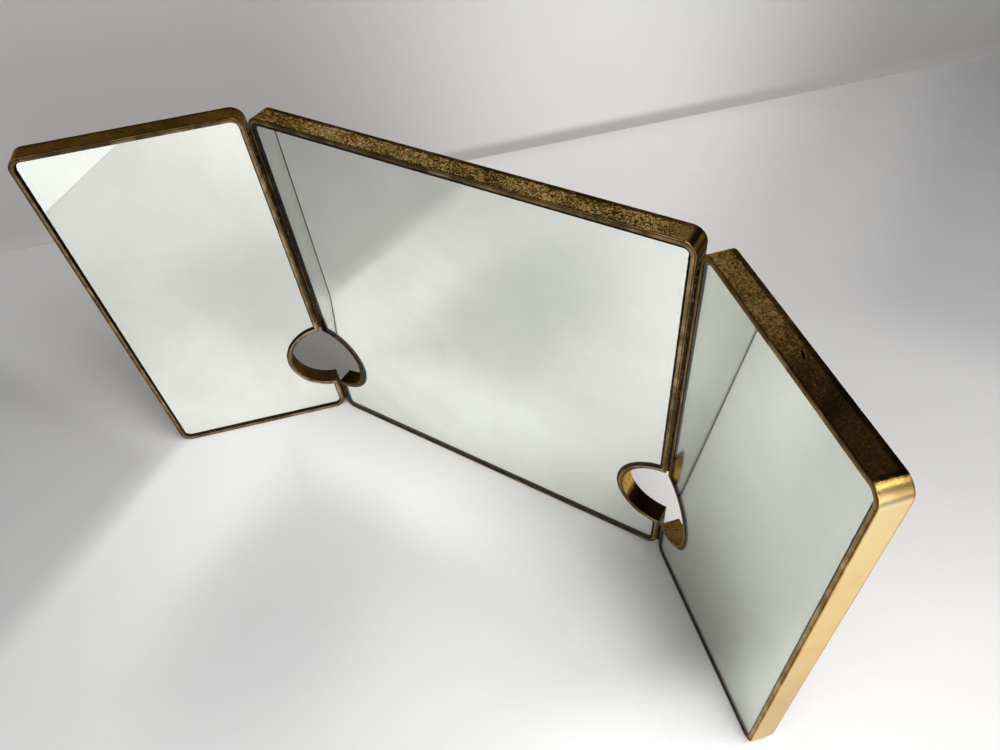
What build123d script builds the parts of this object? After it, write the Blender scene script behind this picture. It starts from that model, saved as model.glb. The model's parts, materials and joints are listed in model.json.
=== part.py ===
"""Three-panel folding table mirror.

A wide centre mirror carries a half-width wing on each side.  Every panel is a
wooden board and a silvered glass held in a brass frame, and long thin hinges
join the front edges, so that the wings swing forward and close over the centre.
Half-round cut-outs in the facing frame sides make a round hole at each joint.

The origin is the middle of the centre panel's underside.  +Z is up, the mirrors
face -Y, and the wings are drawn at the angle at which the mirror stands.
"""
from build123d import *
from math import cos, radians, sin
import os

# ---- panels -------------------------------------------------------------------
height = 400.0
centre_width = 416.0
wing_width = 203.5
depth = 20.0                 # front to back, the width of the brass band
corner_radius = 12.5
hole_radius = 43.2           # round hole shared by two neighbouring panels
hole_height = 89.0           # its middle above the ground
standing_angle = 44.0        # how far each wing is swung forward, in degrees

# ---- brass frame: a band round the panel with a lip at the front ---------------
band_thickness = 1.5
lip_width = 4.4              # measured inward from the band's outer face
lip_thickness = 0.4
lip_outer_round = 0.7
lip_inner_bevel = 0.15

# ---- what the frame holds, from front to back ----------------------------------
liner_thickness = 0.2        # black paper between the lip and the glass
liner_setback = 0.3          # its edge behind the lip's inner edge
glass_thickness = 4.0
silvering_thickness = 0.2    # silver, copper and the backing paint
packing_thickness = 1.0
board_thickness = 12.5
board_bevel = 0.8
slack = 0.3                  # between the band and what it holds

# ---- hinges ---------------------------------------------------------------------
pin_out = 1.4                # pin axis to the panel's side face
pin_ahead = 0.3              # pin axis ahead of the panels' front faces
pin_radius = 0.6
pin_slack = 0.04
pin_overhang = 0.5
barrel_radius = 1.2
knuckle_gap = 0.15           # between neighbouring knuckles, and round them
leaf_thickness = 0.6
leaf_depth = 17.0            # pin axis to the leaf's back edge
hinge_to_hole = 7.0
hinge_to_corner = 1.5        # hinge end to where the rounded corner starts
upper_knuckles = 21
lower_knuckles = 5
upper_screws = 5
lower_screws = 2
end_screw_inset = 6.0        # last hinge screw to the leaf's end

# ---- slotted countersunk screws --------------------------------------------------
frame_screw = dict(head=4.0, shank=1.9, length=19.0, slot=1.6)
hinge_screw = dict(head=1.9, shank=0.95, length=9.0, slot=0.6)
head_angle = 90.0
slot_share = 0.45            # slot depth as a share of the head's height
screw_slack = 0.05
slot_start = -18.0           # the first screw's slot, turned from its seat's x axis
slot_turn = 37.0             # each further screw's slot is turned this much more
centre_screw_spacing = 208.0
wing_screw_shift = 4.5       # beyond the wing's middle, away from the joint

# ---- worked out from the above ----------------------------------------------------
liner_depth = lip_thickness
glass_depth = liner_depth + liner_thickness
silvering_depth = glass_depth + glass_thickness
packing_depth = silvering_depth + silvering_thickness
board_depth = packing_depth + packing_thickness
screw_depth = board_depth + board_thickness / 2
held_inset = band_thickness + slack

UP = Vector(0, 0, 1)


class Panel:
    """One mirror panel, its place and the sides (-1 left, +1 right) with a cut-out."""

    def __init__(self, name, width, sides, origin, right):
        self.name = name
        self.width = width
        self.sides = sides
        self.right = right
        self.back = UP.cross(right)
        self.front = Plane(origin=origin, x_dir=right, z_dir=-self.back)

    def at_depth(self, distance):
        return self.front.offset(-distance)


def pin_point(side):
    return Vector(side * (centre_width / 2 + pin_out), -depth / 2 - pin_ahead, 0)


def make_centre():
    return Panel("centre", centre_width, (-1, 1), (0, -depth / 2, 0), Vector(1, 0, 0))


def make_wing(name, side):
    angle = radians(standing_angle)
    right = Vector(cos(angle), -side * sin(angle), 0)
    middle = pin_point(side) + right * side * (pin_out + wing_width / 2)
    return Panel(name, wing_width, (-side,), middle + UP.cross(right) * pin_ahead, right)


def outline(panel, inset):
    """The panel's outline in the current sketch, drawn in by the inset."""
    with Locations((0, height / 2)):
        RectangleRounded(panel.width - 2 * inset, height - 2 * inset, corner_radius - inset)
    reach = panel.width / 2 + pin_out
    with Locations(*[(side * reach, hole_height) for side in panel.sides]):
        Circle(hole_radius + inset, mode=Mode.SUBTRACT)


# ---- hinge layout -----------------------------------------------------------------
def hinge_spans():
    """Lower and upper end of each of a joint's two hinges, with knuckles and screws."""
    lower = (corner_radius + hinge_to_corner, hole_height - hole_radius - hinge_to_hole)
    upper = (hole_height + hole_radius + hinge_to_hole, height - corner_radius - hinge_to_corner)
    return {"upper": (*upper, upper_knuckles, upper_screws),
            "lower": (*lower, lower_knuckles, lower_screws)}


def plan_plane(panel, side):
    """Seen from above: origin on the pin axis, x along the panel, y to its back."""
    return Plane(origin=pin_point(side), x_dir=panel.right, z_dir=UP)


def hinge_screw_seats(panel, side, toward, part):
    """Screw seats on the hinge leaf's open face, for the upper or the lower hinge."""
    low, high, _, count = hinge_spans()[part]
    pitch = (high - low - 2 * end_screw_inset) / (count - 1)
    face = pin_point(side) + panel.right * toward * (pin_out - leaf_thickness)
    line = face + panel.back * (pin_ahead + screw_depth)
    heights = [low + end_screw_inset + pitch * i for i in range(count)]
    return [Plane(origin=line + UP * z, x_dir=UP, z_dir=panel.right * -toward) for z in heights]


def joints_of(panel):
    """Pairs of joint side and the direction from that joint's pin towards the panel."""
    if panel.name == "centre":
        return [(-1, 1), (1, -1)]
    side = -panel.sides[0]
    return [(side, side)]


def all_hinge_seats(panel):
    return [seat for side, toward in joints_of(panel) for part in hinge_spans()
            for seat in hinge_screw_seats(panel, side, toward, part)]


def frame_screw_seats(panel):
    """Screws through the band: one in a wing's top and bottom, two below the centre."""
    line = panel.at_depth(screw_depth).origin
    if panel.name == "centre":
        shift = panel.right * centre_screw_spacing / 2
        return [Plane(origin=line + shift * way, x_dir=panel.right, z_dir=-UP)
                for way in (-1, 1)]
    line -= panel.right * panel.sides[0] * wing_screw_shift
    return [Plane(origin=line + UP * height, x_dir=panel.right, z_dir=UP),
            Plane(origin=line, x_dir=panel.right, z_dir=-UP)]


def cut_screw_holes(seats, screw):
    with Locations(*seats):
        CounterSinkHole(screw["shank"] + screw_slack, screw["head"] + screw_slack,
                        screw["length"], head_angle)


# ---- pieces -------------------------------------------------------------------------
def save(piece, name):
    piece.part.label = name
    export_step(piece.part, f"parts/{name}.step")


def build_frame(panel):
    """The band and lip are shaped lying flat, lip up, and then stood in their place."""
    with BuildPart() as band:
        with BuildSketch():
            outline(panel, 0)
        extrude(amount=-depth)
        with BuildSketch(Plane.XY.offset(-lip_thickness)):
            outline(panel, band_thickness)
        extrude(amount=lip_thickness - depth, mode=Mode.SUBTRACT)
        with BuildSketch():
            outline(panel, lip_width)
        extrude(amount=-lip_thickness, mode=Mode.SUBTRACT)
        fillet(band.faces().sort_by(Axis.Z)[-1].outer_wire().edges(), lip_outer_round)
        chamfer(band.faces().sort_by(Axis.Z)[-1].inner_wires()[0].edges(), lip_inner_bevel)
    with BuildPart() as frame:
        with Locations(panel.front):
            add(band.part)
        cut_screw_holes(frame_screw_seats(panel), frame_screw)
        cut_screw_holes(all_hinge_seats(panel), hinge_screw)
    save(frame, f"{panel.name}_frame")


def build_liner(panel):
    with BuildPart() as liner:
        with BuildSketch(panel.at_depth(liner_depth)):
            outline(panel, held_inset)
        extrude(amount=-liner_thickness)
        with BuildSketch(panel.at_depth(liner_depth)):
            outline(panel, lip_width - liner_setback)
        extrude(amount=-liner_thickness, mode=Mode.SUBTRACT)
    save(liner, f"{panel.name}_liner")


def build_sheet(panel, name, front, thickness):
    with BuildPart() as sheet:
        with BuildSketch(panel.at_depth(front)):
            outline(panel, held_inset)
        extrude(amount=-thickness)
    save(sheet, f"{panel.name}_{name}")


def build_board(panel):
    with BuildPart() as board:
        with BuildSketch(panel.at_depth(board_depth)):
            outline(panel, held_inset)
        extrude(amount=-board_thickness)
        back_face = board.faces().sort_by(Axis(panel.front.origin, panel.front.z_dir))[0]
        chamfer(back_face.outer_wire().edges(), board_bevel)
        cut_screw_holes(frame_screw_seats(panel), frame_screw)
        cut_screw_holes(all_hinge_seats(panel), hinge_screw)
    save(board, f"{panel.name}_board")


def build_screws(seats, screw, name):
    head_height = screw["head"] - screw["shank"]
    under = (Align.CENTER, Align.CENTER, Align.MAX)
    with BuildPart() as screws:
        with Locations(*seats):
            Cone(screw["shank"], screw["head"], head_height, align=under)
            Cylinder(screw["shank"], screw["length"], align=under)
        for number, seat in enumerate(seats):
            with Locations(seat.rotated((0, 0, slot_start + slot_turn * number))):
                Box(2 * screw["head"], screw["slot"], 2 * slot_share * head_height,
                    mode=Mode.SUBTRACT)
    save(screws, name)


def build_leaf(panel, side, toward, part, first, name):
    """A hinge leaf; its own knuckles are every second one, starting with `first`."""
    low, high, knuckles, _ = hinge_spans()[part]
    pitch = (high - low) / knuckles
    plan = plan_plane(panel, side)
    upward = (Align.CENTER, Align.CENTER, Align.MIN)
    own = [plan.offset(low + pitch * i + knuckle_gap / 2) for i in range(first, knuckles, 2)]
    others = [plan.offset(low + pitch * i - knuckle_gap / 2)
              for i in range(1 - first, knuckles, 2)]
    with BuildPart() as leaf:
        with BuildSketch(plan.offset(low)):
            with Locations((toward * (pin_out - leaf_thickness / 2), leaf_depth / 2)):
                Rectangle(leaf_thickness, leaf_depth)
        extrude(amount=high - low)
        with Locations(*others):
            Cylinder(barrel_radius + knuckle_gap, pitch + knuckle_gap, align=upward,
                     mode=Mode.SUBTRACT)
        with Locations(*own):
            Cylinder(barrel_radius, pitch - knuckle_gap, align=upward)
        with Locations(plan.offset(low)):
            Cylinder(pin_radius + pin_slack, high - low, align=upward, mode=Mode.SUBTRACT)
        cut_screw_holes(hinge_screw_seats(panel, side, toward, part), hinge_screw)
    save(leaf, name)


def build_pin(side, part, name):
    low, high, _, _ = hinge_spans()[part]
    foot = Plane(origin=pin_point(side), z_dir=UP).offset(low - pin_overhang)
    with BuildPart() as pin:
        with BuildSketch(foot):
            Circle(pin_radius)
        extrude(amount=high - low + 2 * pin_overhang)
    save(pin, name)


def build_panel(panel):
    build_frame(panel)
    build_liner(panel)
    build_sheet(panel, "glass", glass_depth, glass_thickness)
    build_sheet(panel, "silvering", silvering_depth, silvering_thickness)
    build_sheet(panel, "packing", packing_depth, packing_thickness)
    build_board(panel)
    build_screws(frame_screw_seats(panel), frame_screw, f"{panel.name}_frame_screws")


def build_joint(centre, wing, side):
    for part in hinge_spans():
        name = f"{wing.name}_{part}_hinge"
        build_leaf(centre, side, -side, part, 0, f"{name}_centre_leaf")
        build_leaf(wing, side, side, part, 1, f"{name}_wing_leaf")
        build_pin(side, part, f"{name}_pin")
    for panel, toward, owner in ((centre, -side, "centre"), (wing, side, "wing")):
        seats = [seat for part in hinge_spans()
                 for seat in hinge_screw_seats(panel, side, toward, part)]
        build_screws(seats, hinge_screw, f"{wing.name}_hinge_{owner}_screws")


os.makedirs("parts", exist_ok=True)
centre = make_centre()
build_panel(centre)
for wing_name, wing_side in (("left", -1), ("right", 1)):
    wing = make_wing(wing_name, wing_side)
    build_panel(wing)
    build_joint(centre, wing, wing_side)
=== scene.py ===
"""Finishes and surroundings for the folding table mirror.

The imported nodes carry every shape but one: a thin sheet of silver lies just inside
the back of each glass.  The script gives every piece its finish, stands the mirror
on a pale table before a pale wall, and lights it softly.  Lengths are in metres.
"""
import json
from math import cos, radians, sin

import bmesh
import bpy
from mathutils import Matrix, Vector


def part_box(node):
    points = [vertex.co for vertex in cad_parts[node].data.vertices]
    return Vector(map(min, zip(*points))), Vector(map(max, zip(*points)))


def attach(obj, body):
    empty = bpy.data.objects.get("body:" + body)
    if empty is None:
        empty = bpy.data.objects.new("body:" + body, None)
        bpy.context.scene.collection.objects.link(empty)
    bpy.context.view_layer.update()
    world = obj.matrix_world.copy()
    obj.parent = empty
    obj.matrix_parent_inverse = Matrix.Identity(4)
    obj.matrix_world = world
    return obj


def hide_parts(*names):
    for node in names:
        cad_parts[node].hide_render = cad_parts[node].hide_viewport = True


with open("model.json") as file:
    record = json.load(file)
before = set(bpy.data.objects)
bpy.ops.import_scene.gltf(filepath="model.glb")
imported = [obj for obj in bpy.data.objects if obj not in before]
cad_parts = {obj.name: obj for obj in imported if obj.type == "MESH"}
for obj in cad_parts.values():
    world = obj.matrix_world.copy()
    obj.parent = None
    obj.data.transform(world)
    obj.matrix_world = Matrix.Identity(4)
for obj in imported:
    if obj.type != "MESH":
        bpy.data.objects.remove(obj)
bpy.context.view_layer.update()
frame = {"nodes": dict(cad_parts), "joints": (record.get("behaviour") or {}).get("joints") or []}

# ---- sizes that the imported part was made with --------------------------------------
MM = 0.001
HEIGHT = 400 * MM
CENTRE_WIDTH = 416 * MM
WING_WIDTH = 203.5 * MM
DEPTH = 20 * MM
CORNER_RADIUS = 12.5 * MM
HOLE_RADIUS = 43.2 * MM
HOLE_HEIGHT = 89 * MM
PIN_OUT = 1.4 * MM
PIN_AHEAD = 0.3 * MM
LIP_WIDTH = 4.4 * MM


class Panel:
    """Where one panel stands, how it is turned and which of its sides have a joint."""

    def __init__(self, name, width, turn, joint_left, joint_right):
        self.name = name
        self.width = width
        self.turn = turn
        self.right = Vector((cos(turn), sin(turn), 0))
        self.back = Vector((-sin(turn), cos(turn), 0))
        self.joint_left = joint_left
        self.joint_right = joint_right
        self.pin = None             # the joint's axis on the table
        self.origin = None          # the middle of the front lower edge


def centre_panel():
    panel = Panel("centre", CENTRE_WIDTH, 0.0, True, True)
    panel.origin = Vector((0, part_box("centre_frame")[0].y, 0))
    return panel


def wing_panel(name, side):
    joint = next(j for j in frame["joints"] if j["child"] == f"{name}_wing")
    turn = side * radians(joint["range_deg"][0])
    panel = Panel(name, WING_WIDTH, turn, side > 0, side < 0)
    panel.pin = Vector((joint["pos_m"][0], joint["pos_m"][1], 0))
    to_middle = side * (PIN_OUT + WING_WIDTH / 2)
    panel.origin = panel.pin + panel.right * to_middle + panel.back * PIN_AHEAD
    return panel


left_wing = wing_panel("left", -1)
right_wing = wing_panel("right", 1)
panels = [centre_panel(), left_wing, right_wing]


# ---- node wiring -------------------------------------------------------------------
class Wiring:
    """Adds nodes to a tree; an input may be given a number, a colour or a socket."""

    def __init__(self, tree):
        self.tree = tree

    def put(self, socket, value):
        if isinstance(value, bpy.types.NodeSocket):
            self.tree.links.new(value, socket)
        elif socket.type == "RGBA" and len(value) == 3:
            socket.default_value = (*value, 1)
        else:
            socket.default_value = value

    def fill(self, node, inputs):
        for key, value in inputs.items():
            self.put(node.inputs[key], value)

    def node(self, kind, inputs=None, **settings):
        node = self.tree.nodes.new(kind)
        for key, value in settings.items():
            setattr(node, key, value)
        self.fill(node, inputs or {})
        return node

    def math(self, operation, *values, clamp=False):
        node = self.node("ShaderNodeMath", operation=operation, use_clamp=clamp)
        for socket, value in zip(node.inputs, values):
            self.put(socket, value)
        return node.outputs[0]

    def plus(self, first, second, clamp=False):
        return self.math("ADD", first, second, clamp=clamp)

    def minus(self, first, second, clamp=False):
        return self.math("SUBTRACT", first, second, clamp=clamp)

    def times(self, first, second):
        return self.math("MULTIPLY", first, second)

    def least(self, first, second):
        return self.math("MINIMUM", first, second)

    def most(self, first, second):
        return self.math("MAXIMUM", first, second)

    def size(self, value):
        return self.math("ABSOLUTE", value)

    def diagonal(self, across, up):
        return self.math("SQRT", self.plus(self.times(across, across), self.times(up, up)))

    def span(self, value, low, high, to_low=0.0, to_high=1.0):
        """Eases from one value to another while the input goes from low to high."""
        node = self.node("ShaderNodeMapRange",
                         {"Value": value, "From Min": low, "From Max": high,
                          "To Min": to_low, "To Max": to_high},
                         interpolation_type="SMOOTHSTEP")
        return node.outputs["Result"]

    def fall(self, value, low, high, from_level=1.0):
        """Eases from a level down to 0 while the input goes from low to high."""
        return self.span(value, low, high, from_level, 0.0)

    def mix(self, factor, first, second):
        node = self.node("ShaderNodeMix", {0: factor, 6: first, 7: second}, data_type="RGBA")
        return node.outputs[2]

    def between(self, factor, first, second):
        node = self.node("ShaderNodeMix", {0: factor, 2: first, 3: second})
        return node.outputs[0]

    def noise(self, place, scale, detail=3.0, roughness=0.5, distortion=0.0):
        node = self.node("ShaderNodeTexNoise",
                         {"Vector": place, "Scale": scale, "Detail": detail,
                          "Roughness": roughness, "Distortion": distortion})
        return node.outputs["Fac"]

    def vector(self, operation, first, second):
        node = self.node("ShaderNodeVectorMath", {0: first, 1: second}, operation=operation)
        return node.outputs["Value" if operation in ("DISTANCE", "DOT_PRODUCT") else "Vector"]

    def axes(self, vector):
        node = self.node("ShaderNodeSeparateXYZ", {"Vector": vector})
        return [node.outputs[axis] for axis in "XYZ"]

    def place(self):
        return self.node("ShaderNodeTexCoord").outputs["Object"]

    def bump(self, height, distance):
        node = self.node("ShaderNodeBump", {"Height": height, "Distance": distance,
                                            "Strength": 1.0})
        return node.outputs["Normal"]

    def group(self, tree, **inputs):
        node = self.node("ShaderNodeGroup", node_tree=tree)
        for key, value in inputs.items():
            self.put(node.inputs[key.replace("_", " ").title()], value)
        return node.outputs


def new_group(name, inputs, outputs):
    """A shader node group with named inputs (with defaults) and outputs."""
    tree = bpy.data.node_groups.new(name, "ShaderNodeTree")
    kinds = {"value": "NodeSocketFloat", "place": "NodeSocketVector"}
    for key, (kind, default) in inputs.items():
        socket = tree.interface.new_socket(key, in_out="INPUT", socket_type=kinds[kind])
        if default is not None:
            socket.default_value = default
    for key in outputs:
        tree.interface.new_socket(key, in_out="OUTPUT", socket_type=kinds["value"])
    w = Wiring(tree)
    return w, w.node("NodeGroupInput").outputs, w.node("NodeGroupOutput").inputs


HOLE_WALL = (0.6 * MM, 1.0 * MM)     # from a notch's arc, where its wall's finish fades
FINE_FLECKS = 2.7            # how much finer the small flecks are than the islands
FINE_SHARE = 0.3             # how much they count beside the islands
FLECK_LEVELS = (0.32, 0.68)  # the noise's threshold for full cover and for none


def make_rim_group():
    """How far a point lies inside the panel's outline, round corners and notches too."""
    w, given, out = new_group(
        "panel rim",
        {"Place": ("place", None), "Half Width": ("value", WING_WIDTH / 2),
         "Notch Left": ("value", 1.0), "Notch Right": ("value", 1.0)},
        ["Inside", "Hole Left", "Hole Right"])
    x, _, z = w.axes(given["Place"])
    past_x = w.minus(w.size(x), w.minus(given["Half Width"], CORNER_RADIUS))
    past_z = w.minus(w.size(w.minus(z, HEIGHT / 2)), HEIGHT / 2 - CORNER_RADIUS)
    corner = w.diagonal(w.most(past_x, 0.0), w.most(past_z, 0.0))
    core = w.least(w.most(past_x, past_z), 0.0)
    inside = w.minus(CORNER_RADIUS, w.plus(corner, core))
    for side, way in (("Left", -1), ("Right", 1)):
        joint = w.times(w.plus(given["Half Width"], PIN_OUT), way)
        far = w.diagonal(w.minus(x, joint), w.minus(z, HOLE_HEIGHT))
        past_notch = w.minus(far, HOLE_RADIUS)
        no_notch = w.minus(1.0, given[f"Notch {side}"])
        inside = w.least(inside, w.plus(past_notch, no_notch))
        wall = w.fall(w.size(past_notch), *HOLE_WALL)
        w.put(out[f"Hole {side}"], w.times(wall, given[f"Notch {side}"]))
    w.put(out["Inside"], inside)
    return w.tree


def make_fleck_group():
    """Worm-like tarnish in soft crooked islands, from 0 clean to 1 dark."""
    w, given, out = new_group(
        "tarnish flecks",
        {"Place": ("place", None), "Size": ("value", 3 * MM), "Cover": ("value", 0.5),
         "Edge": ("value", 0.05)},
        ["Flecks"])
    full, none = FLECK_LEVELS
    scale = w.math("DIVIDE", 1.0, given["Size"])
    islands = w.noise(given["Place"], scale, 4.0, 0.6, 1.2)
    fine = w.noise(given["Place"], w.times(scale, FINE_FLECKS), 2.0, 0.5, 0.6)
    both = w.plus(w.times(islands, 1 - FINE_SHARE), w.times(fine, FINE_SHARE))
    level = w.plus(w.times(w.minus(1.0, given["Cover"]), none - full), full)
    low = w.minus(level, given["Edge"])
    high = w.plus(level, given["Edge"])
    w.put(out["Flecks"], w.span(both, low, high))
    return w.tree


rim_group = make_rim_group()
fleck_group = make_fleck_group()


def flecks(w, place, size, cover, edge):
    return w.group(fleck_group, place=place, size=size, cover=cover, edge=edge)["Flecks"]


def rim(w, place, panel):
    return w.group(rim_group, place=place, half_width=panel.width / 2,
                   notch_left=float(panel.joint_left), notch_right=float(panel.joint_right))


def new_material(name):
    material = bpy.data.materials.new(name)
    material.use_nodes = True
    tree = material.node_tree
    tree.nodes.clear()
    w = Wiring(tree)
    shader = w.node("ShaderNodeBsdfPrincipled")
    w.node("ShaderNodeOutputMaterial", {"Surface": shader.outputs["BSDF"]})
    return material, w, shader


def panel_place(w, panel):
    """The surface point, seen from the panel's own front lower middle."""
    settings = {"Vector": w.place(), "Location": panel.origin, "Rotation": (0, 0, panel.turn)}
    return w.node("ShaderNodeMapping", settings, vector_type="TEXTURE").outputs[0]


def panel_facing(w, panel):
    """Which way the surface faces, seen from the panel."""
    normal = w.node("ShaderNodeTexCoord").outputs["Normal"]
    settings = {"Vector": normal, "Rotation": (0, 0, -panel.turn)}
    return w.node("ShaderNodeMapping", settings, vector_type="VECTOR").outputs[0]


SIDE_INSET = 6 * MM          # where the upright sides have their full value
CORNER_TURN = (4.5 * MM, 11 * MM)    # from the top or bottom, where it goes over to theirs


def by_side(w, x, z, panel, values):
    """One value along the panel's rim, different on each of its four sides."""
    left, right, top, bottom = values
    half = panel.width / 2 - SIDE_INSET
    tone = w.between(w.span(x, -half, half), left, right)
    upper = w.fall(w.minus(HEIGHT, z), *CORNER_TURN)
    lower = w.fall(z, *CORNER_TURN)
    return w.between(lower, w.between(upper, tone, top), bottom)


# ---- brass ---------------------------------------------------------------------------
CLEAN_BRASS = (0.97, 0.81, 0.475)
FLECK_GOLD = (0.78, 0.50, 0.155)
BROWN_BRASS = (0.200, 0.115, 0.032)
UMBER_BRASS = (0.072, 0.039, 0.012)
BLACK_BRASS = (0.012, 0.007, 0.004)
BRASS_GRAZING = (0.78, 0.63, 0.46)     # tarnish takes the white sheen at low angles
LOWER_SIDE_BRASS = (0.60, 0.50, 0.40)
DULL_LIP = (0.050, 0.036, 0.022)
BROWN_LIP = (0.200, 0.128, 0.052)
BRIGHT_LIP = (0.64, 0.505, 0.30)
SUNK_NEAR_BLACK = (0.006, 0.004, 0.003)

# each colour comes in over the one before it while the tone goes from low to high
BRASS_SCALE = ((0.00, 0.18, UMBER_BRASS),
               (0.14, 0.40, BROWN_BRASS),
               (0.36, 0.74, FLECK_GOLD),
               (0.70, 1.00, CLEAN_BRASS))

UNEVEN = {"scale": 16.0, "detail": 4.0, "roughness": 0.6, "distortion": 0.5}
WORMS = {"size": 1.9 * MM, "edge": 0.022}
FINE_WORMS = {"size": 0.9 * MM, "cover": 0.42, "edge": 0.05}
SPECKS = {"size": 1.6 * MM, "cover": 0.10, "edge": 0.03}
PITS = {"size": 3.2 * MM, "cover": 0.35, "edge": 0.03}

# how square to the way a surface faces where it starts to count, and where it counts fully
FACES_UP = (0.35, 0.80)
FACES_FRONT = (0.50, 0.90)
FACES_SIDE = (0.28, 0.52)
ROUND_END = (0.04, 0.25)     # facing up, on the free end's round corner
ROUND_END_PAINTED_DARK = (0.10, 0.70)      # the same, for its painted dark reflection

BAND_MIDDLE = 8.6 * MM       # from the front
BAND_MARGIN = 1.8 * MM       # beside both edges of the band, where the worms close up
GRIME_WIDTH = 1.6 * MM       # along both edges of the free side
LIP_LINE = 1.3 * MM          # the dark line on the lip, from the band's outer face
LINE_EDGE = (0.2 * MM, 0.7 * MM)     # from its middle, where the line fades
NOTCH_DARK_BELOW = (-30 * MM, -16 * MM)    # from the notch's middle, upwards
NOTCH_DARK_ABOVE = (12 * MM, 26 * MM)
LOWER_SIDE_FADE = (50 * MM, 250 * MM)      # heights between which the free side's duller, darker lower tone thins out
LOWER_SIDE_COVER = 0.55
SLOT_DEPTH = (0.18 * MM, 0.6 * MM)   # below the band's outer face, inside a screw's slot

SATIN_ROUGH = 0.22           # the plain band
WORM_ROUGH = 0.10            # what the worms add to it
POLISHED_ROUGH = 0.11
ROUND_END_ROUGH = 0.26
LIP_ROUGH = 0.30
NOTCH_ROUGH = 0.42
UNEVEN_ROUGH = 0.10


class BrassLook:
    """How one frame has aged, with painted light and shade on some faces; tones run from 0,
    black, to 1, bright.
    """

    def __init__(self, lip, top, depth, top_end, cover, cover_end, fade, sides, holes, notch_darkening,
                 outer):
        self.lip = lip              # left, right, top and bottom of the front lip
        self.top = top              # ground tone of the band's top
        self.depth = depth          # how much darker the flecks are
        self.top_end = top_end      # the ground tone beyond the fade
        self.cover = cover          # share of the top that the flecks take
        self.cover_end = cover_end  # the same beyond the fade
        self.fade = fade            # from where to where across the panel the top changes
        self.sides = sides          # tone of the sides that meet the neighbour, painted shade of the joint
        self.holes = holes          # tone of the notch walls, left and right
        self.notch_darkening = notch_darkening            # how much darker they are below and above their middle
        self.outer = outer          # tone of the free side: worn brass, and on the right wing, which faces the lamp, also painted light


BRASS_LOOKS = {
    "centre": BrassLook(lip=(0.09, 0.40, 0.33, 0.12), top=0.74, depth=0.60, top_end=0.55,
                        cover=0.55, cover_end=0.80, fade=(0.17, 0.20), sides=0.14,
                        holes=(0.03, 0.70), notch_darkening=0.9, outer=0.2),
    "left": BrassLook(lip=(0.44, 0.52, 0.26, 0.38), top=0.22, depth=0.20, top_end=0.27,
                      cover=0.30, cover_end=0.45, fade=(0.04, 0.10), sides=0.12,
                      holes=(0.2, 0.24), notch_darkening=0.1, outer=0.5),
    "right": BrassLook(lip=(0.48, 0.57, 0.34, 0.10), top=0.48, depth=0.32, top_end=0.26,
                       cover=0.50, cover_end=0.70, fade=(-0.04, 0.055), sides=0.14,
                       holes=(0.48, 0.5), notch_darkening=0.1, outer=1.0)}


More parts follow.
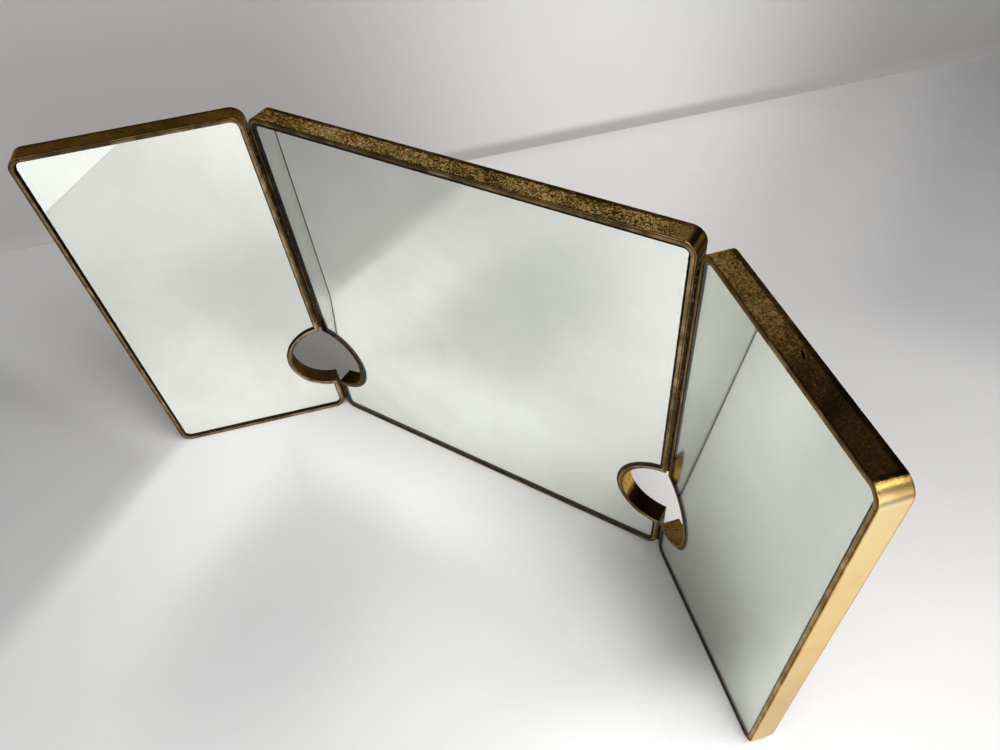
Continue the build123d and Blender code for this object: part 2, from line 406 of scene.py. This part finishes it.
class BrassFrame:
    """The masks and tones of one aged brass frame, wired into its material."""

    def __init__(self, w, panel, look):
        self.w, self.panel, self.look = w, panel, look
        self.place = panel_place(w, panel)
        self.x, self.y, self.z = w.axes(self.place)
        outline = rim(w, self.place, panel)
        self.inside = outline["Inside"]
        self.notches = [outline["Hole Left"], outline["Hole Right"]]
        self.face_x, self.face_y, self.face_z = w.axes(panel_facing(w, panel))
        self.up = w.span(self.face_z, *FACES_UP)
        self.front = w.span(w.times(self.face_y, -1.0), *FACES_FRONT)
        self.sideways = w.span(w.size(self.face_x), *FACES_SIDE)
        self.free_end = self.no_neighbour()
        self.free = w.times(self.sideways, self.free_end)
        self.uneven = w.minus(w.noise(self.place, **UNEVEN), 0.5)
        self.fade = w.span(w.plus(self.x, w.times(self.uneven, 0.05)), *look.fade)
        off_middle = w.size(w.minus(self.y, BAND_MIDDLE))
        self.margin = w.span(off_middle, BAND_MIDDLE - BAND_MARGIN, BAND_MIDDLE)
        self.worms = self.dark_worms()
        self.polish = w.most(self.free, w.times(self.up, self.fade))

    def no_neighbour(self):
        """1 by the end of the panel that has no neighbour, 0 elsewhere."""
        if self.panel.joint_left and self.panel.joint_right:
            return 0.0
        toward = 1.0 if self.panel.joint_left else -1.0
        return self.w.span(self.w.times(self.x, toward), 0.0, 20 * MM)

    def dark_worms(self):
        """The tarnish on the band's top, closing up towards both edges."""
        w, look = self.w, self.look
        cover = w.between(self.fade, look.cover, look.cover_end)
        cover = w.plus(cover, w.times(self.margin, 0.22))
        cover = w.plus(cover, w.times(self.uneven, -0.5), clamp=True)
        return flecks(w, self.place, cover=cover, **WORMS)

    def top_tone(self):
        """Dark worms, large and fine, on a gold or brown ground."""
        w, look = self.w, self.look
        tone = w.between(self.fade, look.top, look.top_end)
        tone = w.plus(tone, w.times(self.uneven, 0.5))
        tone = w.minus(tone, w.times(self.margin, 0.10))
        drop = w.between(self.fade, look.depth, 0.14)
        tone = w.minus(tone, w.times(self.worms, drop))
        fine_drop = w.times(flecks(w, self.place, **FINE_WORMS), look.depth * 0.4)
        return w.minus(tone, w.minus(fine_drop, look.depth * 0.15))

    def outer_tone(self):
        """The free side: specks, grimy edges and a painted dark reflection where the round
        corner faces up; on the right wing its tone is also painted light.
        """
        w = self.w
        tone = w.minus(self.look.outer, w.times(flecks(w, self.place, **SPECKS), 0.22))
        off_middle = w.size(w.minus(self.y, DEPTH / 2))
        grime = w.span(off_middle, DEPTH / 2 - GRIME_WIDTH, DEPTH / 2, 0.0, 0.30)
        tone = w.minus(tone, grime)
        tone = w.plus(tone, w.times(self.uneven, 0.6))
        return w.minus(tone, w.span(self.face_z, *ROUND_END_PAINTED_DARK, 0.0, 0.22))

    def band_tone(self):
        """Painted shade where the panels meet; worn, and partly painted light, on the free end.
        """
        w = self.w
        outer = self.outer_tone()
        side = w.plus(self.look.sides, w.times(self.uneven, 0.5))
        side = w.between(self.free, side, outer)
        return w.between(self.free, w.between(self.up, side, self.top_tone()), outer)

    def with_notch_walls(self, tone):
        """The notch walls, pitted, and darker below and above their middle."""
        w = self.w
        pitted = w.times(flecks(w, self.place, **PITS), 0.28)
        off_middle = w.minus(self.z, HOLE_HEIGHT)
        notch_darkened = w.most(w.fall(off_middle, *NOTCH_DARK_BELOW), w.span(off_middle, *NOTCH_DARK_ABOVE))
        notch_darkened = w.times(notch_darkened, self.look.notch_darkening)
        for notch, level in zip(self.notches, self.look.holes):
            tone = w.between(notch, tone, w.minus(w.minus(level, pitted), notch_darkened))
        return tone

    def streaks(self):
        """Fine wear on the lip, from -0.13 to 0.13."""
        w = self.w
        return w.times(w.minus(w.noise(self.place, 520.0, 3.0, 0.6), 0.5), 0.26)

    def lip_colour(self, streaks):
        """The front lip, with stains along it and a dark line beside its rounded edge."""
        w = self.w
        stain = w.span(w.noise(self.place, 42.0, 5.0, 0.62, 0.8), 0.30, 0.72, -0.26, 0.22)
        off_line = w.size(w.minus(self.inside, LIP_LINE))
        line = w.fall(off_line, *LINE_EDGE, 0.38)
        tone = by_side(w, self.x, self.z, self.panel, self.look.lip)
        tone = w.minus(w.plus(tone, w.plus(stain, streaks)), line, clamp=True)
        colour = w.mix(w.span(tone, 0.0, 0.36), DULL_LIP, BROWN_LIP)
        return w.mix(w.span(tone, 0.25, 1.0), colour, BRIGHT_LIP)

    def roughness(self):
        """Satin, smoother where the band is worn, softer at the free end's corner."""
        w = self.w
        band = w.plus(w.times(self.worms, WORM_ROUGH), SATIN_ROUGH)
        rough = w.between(self.polish, band, POLISHED_ROUGH)
        round_end = w.times(w.span(self.face_z, *ROUND_END), self.free_end)
        rough = w.between(w.times(round_end, self.sideways), rough, ROUND_END_ROUGH)
        rough = w.between(self.front, rough, LIP_ROUGH)
        for notch in self.notches:
            rough = w.between(notch, rough, NOTCH_ROUGH)
        return w.plus(rough, w.times(self.uneven, UNEVEN_ROUGH))


def brass_tone(w, tone):
    """Brass colour for a tone from 0, black, over brown and dull gold to 1, clean."""
    colour = BLACK_BRASS
    for low, high, brighter in BRASS_SCALE:
        colour = w.mix(w.span(tone, low, high), colour, brighter)
    return colour


def aged_brass(panel):
    """Old lacquered brass: mottled on the band's top, worn along the lip and free side, with
    painted shade in the joints and painted light on the right wing's free side.
    """
    material, w, shader = new_material(f"aged brass, {panel.name} frame")
    brass = BrassFrame(w, panel, BRASS_LOOKS[panel.name])
    colour = brass_tone(w, brass.with_notch_walls(brass.band_tone()))
    # the free side turns duller and darker towards the bottom
    lower_side = w.times(w.fall(brass.z, *LOWER_SIDE_FADE, LOWER_SIDE_COVER), brass.free)
    colour = w.mix(lower_side, colour, LOWER_SIDE_BRASS)
    streaks = brass.streaks()
    colour = w.mix(brass.front, colour, brass.lip_colour(streaks))
    # near-black where the frame lies sunk inside its outline and faces sideways, as in the
    # screws' slots
    sunk = w.span(brass.inside, *SLOT_DEPTH)
    across = w.fall(w.size(brass.face_y), 0.4, 0.6)
    colour = w.mix(w.times(sunk, across), colour, SUNK_NEAR_BLACK)
    worm_relief = w.times(brass.worms, w.between(brass.polish, 0.8, 0.12))
    relief = w.plus(worm_relief, w.times(streaks, 0.6))
    w.fill(shader, {"Base Color": colour, "Metallic": 1.0, "Specular Tint": BRASS_GRAZING,
                    "Roughness": brass.roughness(), "Normal": w.bump(relief, 0.04 * MM)})
    return material


def tarnished_brass(name, bright, fleck_size, cover, smoothest, relief):
    """Small brass parts gone nearly black, with rubbed high spots."""
    material, w, shader = new_material(name)
    dark = flecks(w, w.place(), fleck_size, cover, 0.08)
    w.fill(shader, {"Base Color": w.mix(dark, bright, BLACK_BRASS), "Metallic": 1.0,
                    "Roughness": w.plus(w.times(dark, 0.25), smoothest),
                    "Normal": w.bump(dark, relief)})
    return material


# ---- glass, silver, paper, felt and wood ------------------------------------------------
# each mirror's silver; the wings' warmer tints and the right one's darker tone are painted
# reflection, standing for the light each one reflects
SILVERS = {"centre": (0.965, 0.968, 0.930),
           "left": (0.970, 0.968, 0.922),
           "right": (0.775, 0.795, 0.725)}
SILVER_BITE = 0.03 * MM      # how far the silver lies inside the glass
CLOUDED = 0.940              # share of its brightness that clouded silver keeps
LOST_SILVER = (0.004, 0.0035, 0.003)
# width of the black along the left, right, top and bottom of each mirror
BLACK_EDGES = {"centre": (3.7 * MM, 2.6 * MM, 6.9 * MM, 8.4 * MM),
               "left": (1.7 * MM, 1.4 * MM, 0.9 * MM, 3.3 * MM),
               "right": (2.5 * MM, 2.5 * MM, 4.3 * MM, 7.2 * MM)}
PAPER_BLACK = (0.008, 0.007, 0.006)
PAPER_SCUFF = (0.06, 0.05, 0.035)
FELT_DARK = (0.12, 0.115, 0.10)
FELT_PALE = (0.32, 0.30, 0.27)
GRAIN_SHIFT = {"centre": (0.0, 0.0, 0.0), "left": (1.37, 0.0, 0.4), "right": (-2.11, 0.0, -0.7)}
EARLY_WOOD = (0.24, 0.125, 0.062)
LATE_WOOD = (0.125, 0.058, 0.028)
WOOD_FIBRE = (0.30, 0.17, 0.09)
WOOD_PORE = (0.045, 0.022, 0.012)
HANDLED_WOOD = (0.07, 0.034, 0.018)


def plate_glass():
    """Thick, faintly green plate glass."""
    material, w, shader = new_material("plate glass")
    w.fill(shader, {"Base Color": (0.965, 0.992, 0.972), "Transmission Weight": 1.0,
                    "IOR": 1.46, "Specular Tint": (0.03, 0.03, 0.03), "Roughness": 0.0,
                    "Normal": w.bump(w.noise(w.place(), 5.0, 1.0), 0.06 * MM)})
    return material


def old_silver(panel):
    """Silvering with faint clouds and specks, gone black along the rim."""
    material, w, shader = new_material(f"old silvering, {panel.name}")
    place = panel_place(w, panel)
    x, _, z = w.axes(place)
    clean = SILVERS[panel.name]
    cloud = w.span(w.noise(place, 9.0, 5.0, 0.6, 0.4), 0.35, 0.7)
    silver = w.mix(cloud, clean, [level * CLOUDED for level in clean])
    ragged = w.times(w.minus(w.noise(place, 260.0, 4.0, 0.6), 0.5), 0.9 * MM)
    edge = w.minus(rim(w, place, panel)["Inside"], LIP_WIDTH)
    edge = w.minus(edge, by_side(w, x, z, panel, BLACK_EDGES[panel.name]))
    edge = w.plus(edge, ragged)
    blackened = w.fall(edge, -0.2 * MM, 0.15 * MM)
    specks = w.span(w.noise(place, 900.0, 2.0, 0.5), 0.64, 0.72)
    lost = w.times(specks, w.fall(edge, 0.4 * MM, 7 * MM))
    dark = w.most(blackened, lost)
    w.fill(shader, {"Base Color": w.mix(dark, silver, LOST_SILVER),
                    "Specular IOR Level": 0.05, "Metallic": w.minus(1.0, dark),
                    "Roughness": w.span(dark, 0.0, 1.0, 0.0, 0.6)})
    return material


def silver_sheet(panel):
    """The reflecting layer, laid just inside the back of the glass."""
    name = f"{panel.name}_silver"
    backing = frame["nodes"][f"{panel.name}_silvering"]
    sheet = bmesh.new()
    sheet.from_mesh(backing.data)
    bmesh.ops.remove_doubles(sheet, verts=sheet.verts, dist=1e-6)
    bmesh.ops.translate(sheet, verts=sheet.verts, vec=-panel.back * SILVER_BITE)
    for face in sheet.faces:
        face.smooth = False
    mesh = bpy.data.meshes.new(name)
    sheet.to_mesh(mesh)
    sheet.free()
    piece = bpy.data.objects.new(name, mesh)
    bpy.context.scene.collection.objects.link(piece)
    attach(piece, "centre" if panel.name == "centre" else f"{panel.name}_wing")
    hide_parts(f"{panel.name}_silvering")
    mesh.materials.append(old_silver(panel))


def black_paper():
    """Matt black paper tape, a little scuffed."""
    material, w, shader = new_material("black paper tape")
    place = w.place()
    fibre = w.noise(place, 700.0, 4.0, 0.7)
    scuffs = w.span(w.noise(place, 160.0, 3.0, 0.6), 0.60, 0.76)
    w.fill(shader, {"Base Color": w.mix(w.times(scuffs, 0.2), PAPER_BLACK, PAPER_SCUFF),
                    "Specular IOR Level": 0.1, "Roughness": w.span(fibre, 0.3, 0.7, 0.7, 0.95),
                    "Normal": w.bump(fibre, 0.08 * MM)})
    return material


def grey_felt():
    material, w, shader = new_material("grey felt")
    fibre = w.noise(w.place(), 900.0, 4.0, 0.7, 1.5)
    w.fill(shader, {"Base Color": w.mix(fibre, FELT_DARK, FELT_PALE), "Roughness": 0.95,
                    "Normal": w.bump(fibre, 0.3 * MM)})
    return material


def walnut(panel):
    """Waxed walnut with upright grain, pores and darker edges."""
    material, w, shader = new_material(f"walnut, {panel.name} board")
    place = panel_place(w, panel)
    inside = rim(w, place, panel)["Inside"]
    place = w.vector("ADD", place, GRAIN_SHIFT[panel.name])

    def along_grain(upward, *settings):
        return w.noise(w.vector("MULTIPLY", place, (1, 1, upward)), *settings)

    warp = along_grain(0.12, 9.0, 3.0, 0.5)
    ring = w.math("FRACT", w.plus(w.times(w.axes(place)[0], 60.0), w.times(warp, 9.0)))
    late = w.times(w.span(ring, 0.0, 0.85), w.fall(ring, 0.86, 1.0))
    fibre = along_grain(0.02, 900.0, 4.0, 0.7)
    pores = w.span(along_grain(0.035, 1500.0, 2.0), 0.60, 0.70)
    wood = w.mix(late, EARLY_WOOD, LATE_WOOD)
    wood = w.mix(w.span(fibre, 0.3, 0.7, 0.0, 0.5), wood, WOOD_FIBRE)
    wood = w.mix(w.times(pores, 0.8), wood, WOOD_PORE)
    wood = w.mix(w.fall(inside, 1.8 * MM, 20 * MM, 0.6), wood, HANDLED_WOOD)
    relief = w.minus(w.times(fibre, 0.4), pores)
    w.fill(shader, {"Base Color": wood, "Roughness": w.span(fibre, 0.2, 0.8, 0.36, 0.60),
                    "Normal": w.bump(relief, 0.12 * MM)})
    return material


# ---- every piece gets its finish ----------------------------------------------------------
def dress(node, material):
    """The piece shows the material."""
    piece = frame["nodes"][node]
    piece.data.materials.clear()
    piece.data.materials.append(material)


glass_finish = plate_glass()
hinge_finish = tarnished_brass("darkened hinge brass", (0.16, 0.10, 0.04), 3 * MM, 0.6,
                               0.35, 0.05 * MM)
screw_finish = tarnished_brass("aged screw brass", (0.30, 0.18, 0.06), 2.2 * MM, 0.55,
                               0.25, 0.04 * MM)
liner_finish = black_paper()
packing_finish = grey_felt()
for panel in panels:
    name = panel.name
    frame_finish = aged_brass(panel)
    dress(f"{name}_frame", frame_finish)
    dress(f"{name}_glass", glass_finish)
    silver_sheet(panel)
    dress(f"{name}_liner", liner_finish)
    dress(f"{name}_packing", packing_finish)
    dress(f"{name}_board", walnut(panel))
    dress(f"{name}_frame_screws", frame_finish)
for wing in ("left", "right"):
    for part in ("upper", "lower"):
        for piece in ("centre_leaf", "wing_leaf", "pin"):
            dress(f"{wing}_{part}_hinge_{piece}", hinge_finish)
    for owner in ("centre", "wing"):
        dress(f"{wing}_hinge_{owner}_screws", screw_finish)

# ---- table and wall -------------------------------------------------------------------------
WALL_FOOT_LEFT = Vector((-0.921, -0.020, 0))
WALL_FOOT_RIGHT = Vector((0.371, 1.229, 0))
WALL_RUNS_ON = 0.25          # past the right end of its foot
WALL_HEIGHT = 0.55
# painted shade away from the lit spot, painted light at it, and a painted shaded foot
WALL_SHADE = (0.50, 0.49, 0.485)
WALL_LIT = (0.92, 0.91, 0.90)
WALL_FOOT = (0.54, 0.525, 0.52)
WALL_LIT_SPOT = (-0.205, 0.675, 0.10)
LIT_REACH = (0.05, 0.57)
FOOT_HEIGHT = (0.012, 0.030)

TABLE_DROP = Vector((0, 0, -0.3 * MM))
STAGE_REACH = 2.5
TABLE_PAPER = (0.71, 0.705, 0.70)
# painted light and shade on the paper: lit near the right, shaded far right, thrown light,
# shadow beyond the left wing, a shaded spot, light past the right wing, shadow behind the mirror
# and along the right wing's foot
TABLE_LIT_NEAR_RIGHT = (0.79, 0.785, 0.775)
TABLE_SHADE_FAR_RIGHT = (0.555, 0.55, 0.55)
TABLE_THROWN_LIGHT = (0.965, 0.96, 0.945)
TABLE_SHADOW_BEYOND = (0.55, 0.545, 0.54)
TABLE_SPOT_SHADE = (0.605, 0.60, 0.60)
TABLE_DIM_SPOT = (-0.09, -0.28, 0)
TABLE_DIM_REACH = (0.12, 0.18)
TABLE_LIGHT_PAST_WING = (0.965, 0.96, 0.955)
TABLE_SHADED = (0.16, 0.155, 0.15)
TABLE_SHADED_CORNER = (-0.29, 0.06, 0)
TABLE_GRAIN = (0.55, 0.545, 0.54)

# where the painted light and shade on the table come in or fade out, each over a span of x, of
# y, or of the way ahead of the right wing and along it
NEAR_RIGHT_X, NEAR_RIGHT_Y = (0.0, 0.2), (0.0, 0.25)
FAR_RIGHT_X, FAR_RIGHT_Y = (0.20, 0.38), (0.34, 0.52)
THROWN_LEFT = (-0.375, -0.345)
THROWN_LEAN = 0.15           # the left edge leans this much, and lies true at y = -LEAN_FROM
LEAN_FROM = 0.15
FAN_X, FAN_Y = (-0.26, -0.14), (-0.48, -0.12)
BAND_X, BAND_Y = (-0.06, 0.20), (-0.16, -0.07)
BEYOND_X, BEYOND_Y = (-0.40, -0.355), (-0.21, -0.15)
STRIP_AHEAD, STRIP_UNDER = (-0.004, 0.095), (-0.03, -0.01)
STRIP_START, STRIP_END = (-0.06, 0.0), (0.10, 0.17)
STRIP_LEVEL = 0.45
PATCH_AHEAD, PATCH_UNDER, PATCH_START = (0.08, 0.24), (-0.012, 0.004), (0.10, 0.165)
SHADED_REACH, SHADED_LEVEL = (0.03, 0.30), 0.62
DIM_SPOT_FADE = (0.2, 1.2)   # in shares of the dim spot's reach

BOARD_EDGE = (Vector((-0.147, -0.752, 0)), Vector((0.037, -0.811, 0)))
BOARD_RUNS_ON = (1.2, 1.6)   # past the left and the right end of its edge
BOARD_DEPTH = 1.2
BOARD_PAINT = ((0.95, 0.96, 0.955), (0.94, 0.95, 0.945))


def all_of(w, *masks):
    product = masks[0]
    for mask in masks[1:]:
        product = w.times(product, mask)
    return product


def along_way(w, x, y, start, way):
    """How far a table point lies from the start, measured along the way."""
    return w.plus(w.times(w.minus(x, start.x), way.x), w.times(w.minus(y, start.y), way.y))


def behind_mirror(w, x, y):
    """1 on the table behind the centre and the left wing, 0 in front of them."""
    from_wing = along_way(w, x, y, left_wing.pin, left_wing.back)
    return w.span(w.most(y, from_wing), 0.0, 0.02)


def thrown_light(w, x, y):
    """Where the mirrors throw light on the table, and the shadow beyond it; both are painted
    into the table's colour.

    A fan of light lies before the left wing and a band before the centre.
    """
    slant = w.plus(x, w.times(w.plus(y, LEAN_FROM), THROWN_LEAN))
    lit = w.span(slant, *THROWN_LEFT)
    fan = all_of(w, lit, w.fall(x, *FAN_X), w.span(y, *FAN_Y))
    band = all_of(w, lit, w.fall(x, *BAND_X), w.span(y, *BAND_Y))
    beyond = all_of(w, w.fall(slant, *BEYOND_X), w.fall(y, *BEYOND_Y))
    return w.most(fan, band), beyond


def beside_right_wing(w, x, y):
    """The painted shadow along the right wing's foot, and the painted patch of light past it."""
    ahead = along_way(w, x, y, right_wing.pin, -right_wing.back)
    run = along_way(w, x, y, right_wing.pin, right_wing.right)
    dim = all_of(w, w.fall(ahead, *STRIP_AHEAD, STRIP_LEVEL), w.span(ahead, *STRIP_UNDER),
                 w.span(run, *STRIP_START), w.fall(run, *STRIP_END))
    bright = all_of(w, w.span(run, *PATCH_START), w.fall(ahead, *PATCH_AHEAD),
                    w.span(ahead, *PATCH_UNDER))
    return dim, bright


def table_paper():
    """White paper, gently creased, with soft painted light and shade: light thrown by the
    mirrors and past the right wing, the mirror's shadows, and lighter and darker stretches of
    table.
    """
    material, w, shader = new_material("white table paper")
    place = w.place()
    x, y, _ = w.axes(place)
    near_right = w.times(w.span(x, *NEAR_RIGHT_X), w.fall(y, *NEAR_RIGHT_Y))
    far_right = w.times(w.span(x, *FAR_RIGHT_X), w.span(y, *FAR_RIGHT_Y))
    thrown, beyond = thrown_light(w, x, y)
    from_spot = w.vector("SUBTRACT", place, TABLE_DIM_SPOT)
    from_spot = w.vector("MULTIPLY", from_spot, [1 / reach for reach in TABLE_DIM_REACH] + [1])
    dim_spot = w.fall(w.vector("DISTANCE", from_spot, (0, 0, 0)), *DIM_SPOT_FADE)
    dim, bright = beside_right_wing(w, x, y)
    corner = w.vector("DISTANCE", place, TABLE_SHADED_CORNER)
    shaded = w.times(w.fall(corner, *SHADED_REACH, SHADED_LEVEL), behind_mirror(w, x, y))
    grain = w.span(w.noise(place, 420.0, 3.0, 0.6), 0.35, 0.65, 0.0, 0.05)
    colour = TABLE_PAPER
    for mask, paint in ((near_right, TABLE_LIT_NEAR_RIGHT), (far_right, TABLE_SHADE_FAR_RIGHT),
                        (thrown, TABLE_THROWN_LIGHT), (beyond, TABLE_SHADOW_BEYOND), (dim_spot, TABLE_SPOT_SHADE),
                        (bright, TABLE_LIGHT_PAST_WING), (w.most(shaded, dim), TABLE_SHADED),
                        (grain, TABLE_GRAIN)):
        colour = w.mix(mask, colour, paint)
    crease = w.noise(w.vector("MULTIPLY", place, (1, 1.6, 1)), 7.0, 1.5, 0.4, 0.3)
    small = w.noise(w.vector("MULTIPLY", place, (1, 2.2, 1)), 26.0, 3.0, 0.55, 0.6)
    folds = w.plus(crease, w.times(small, 0.10))
    w.fill(shader, {"Base Color": colour, "Roughness": 0.6, "Normal": w.bump(folds, 4 * MM)})
    return material


def pale_wall():
    """Off-white wall, with painted light behind the mirror, painted shade further off and a
    painted shaded foot; clear from behind.
    """
    material, w, shader = new_material("pale wall")
    place = w.place()
    pale = w.fall(w.vector("DISTANCE", place, WALL_LIT_SPOT), *LIT_REACH)
    foot = w.fall(w.axes(place)[2], *FOOT_HEIGHT)
    colour = w.mix(foot, w.mix(pale, WALL_SHADE, WALL_LIT), WALL_FOOT)
    w.fill(shader, {"Base Color": colour, "Roughness": 0.9})
    from_behind = w.node("ShaderNodeNewGeometry").outputs["Backfacing"]
    clear = w.node("ShaderNodeBsdfTransparent").outputs["BSDF"]
    either = w.node("ShaderNodeMixShader", {0: from_behind, 1: shader.outputs["BSDF"], 2: clear})
    output = next(node for node in w.tree.nodes if node.type == "OUTPUT_MATERIAL")
    w.put(output.inputs["Surface"], either.outputs[0])
    return material


def white_board():
    material, w, shader = new_material("white board")
    w.fill(shader, {"Base Color": w.mix(w.noise(w.place(), 1.7, 3.0), *BOARD_PAINT),
                    "Roughness": 0.6})
    return material


def stage_sheet(name, corners, material):
    mesh = bpy.data.meshes.new(name)
    sheet = bmesh.new()
    sheet.faces.new([sheet.verts.new(corner) for corner in corners])
    sheet.to_mesh(mesh)
    sheet.free()
    mesh.materials.append(material)
    thing = bpy.data.objects.new(name, mesh)
    bpy.context.scene.collection.objects.link(thing)


def outward_from(way):
    """The level direction to the right of the way, as seen from above."""
    return Vector((way.y, -way.x, 0))


wall_way = (WALL_FOOT_RIGHT - WALL_FOOT_LEFT).normalized()
wall_middle = (WALL_FOOT_LEFT + WALL_FOOT_RIGHT) / 2
far_left = wall_middle - wall_way * STAGE_REACH
far_right = wall_middle + wall_way * STAGE_REACH
wall_right = WALL_FOOT_RIGHT + wall_way * WALL_RUNS_ON
table_depth = outward_from(wall_way) * 2 * STAGE_REACH
rise = Vector((0, 0, WALL_HEIGHT))
stage_sheet("table", [corner + TABLE_DROP for corner in
                      (far_left, far_left + table_depth, far_right + table_depth, far_right)],
            table_paper())
stage_sheet("wall", [far_left, wall_right, wall_right + rise, far_left + rise], pale_wall())

board_way = (BOARD_EDGE[1] - BOARD_EDGE[0]).normalized()
board_depth = outward_from(board_way) * BOARD_DEPTH
board_left = BOARD_EDGE[0] - board_way * BOARD_RUNS_ON[0] - TABLE_DROP / 2
board_right = BOARD_EDGE[1] + board_way * BOARD_RUNS_ON[1] - TABLE_DROP / 2
stage_sheet("front board", [board_left, board_left + board_depth, board_right + board_depth,
                            board_right], white_board())

# ---- lamps, room and camera -------------------------------------------------------------------
LAMP_AIM = Vector((0, -0.1, 0))
LAMPS = (("window light", (0.68, -0.10, 1.45), 0.7, 16.4),      # name, place, size, power
         ("front fill", (0.0, -1.30, 1.05), 0.9, 8.6),
         ("side fill", (0.80, -0.55, 0.50), 0.5, 2.8))
ROOM_DARK = (0.03, 0.03, 0.03)
ROOM_LIT = (0.44, 0.435, 0.43)
ROOM_HORIZON = (0.50, 0.495, 0.49)
ROOM_LIT_WAY = Vector((-0.50, 0.66, 0.56))
ROOM_LIT_SPAN = (0.62, 0.95)         # how near that way the lit part starts and is full
HORIZON_SPAN = (0.08, 0.36)          # how steeply up the pale band ends
EYE_PLACE = (0.32166, -0.40540, 0.72954)
EYE_TURN_DEG = (41.499, 4.588, 30.915)


def soft_lamp(name, place, size, power):
    light = bpy.data.lights.new(name, "AREA")
    light.shape = "SQUARE"
    light.size = size
    light.energy = power
    lamp = bpy.data.objects.new(name, light)
    lamp.location = place
    lamp.rotation_euler = (LAMP_AIM - Vector(place)).to_track_quat("-Z", "Y").to_euler()
    bpy.context.scene.collection.objects.link(lamp)


def dim_room():
    """A dark room with a lit part at the back left and a pale band round the horizon."""
    world = bpy.data.worlds.new("room")
    bpy.context.scene.world = world
    world.use_nodes = True
    world.node_tree.nodes.clear()
    w = Wiring(world.node_tree)
    way = w.node("ShaderNodeTexCoord").outputs["Generated"]
    toward_lit = w.vector("DOT_PRODUCT", way, ROOM_LIT_WAY.normalized())
    lit = w.span(toward_lit, *ROOM_LIT_SPAN)
    horizon = w.fall(w.axes(way)[2], *HORIZON_SPAN)
    colour = w.mix(horizon, w.mix(lit, ROOM_DARK, ROOM_LIT), ROOM_HORIZON)
    background = w.node("ShaderNodeBackground", {"Color": colour, "Strength": 1.0})
    w.node("ShaderNodeOutputWorld", {"Surface": background.outputs[0]})


for lamp in LAMPS:
    soft_lamp(*lamp)
dim_room()

camera = bpy.data.cameras.new("camera")
camera.sensor_width = 36
camera.lens = 27.4
camera.clip_start = 0.01
eye = bpy.data.objects.new("camera", camera)
eye.location = EYE_PLACE
eye.rotation_euler = [radians(angle) for angle in EYE_TURN_DEG]
bpy.context.scene.collection.objects.link(eye)
bpy.context.scene.camera = eye
bpy.context.scene.view_settings.view_transform = "Standard"
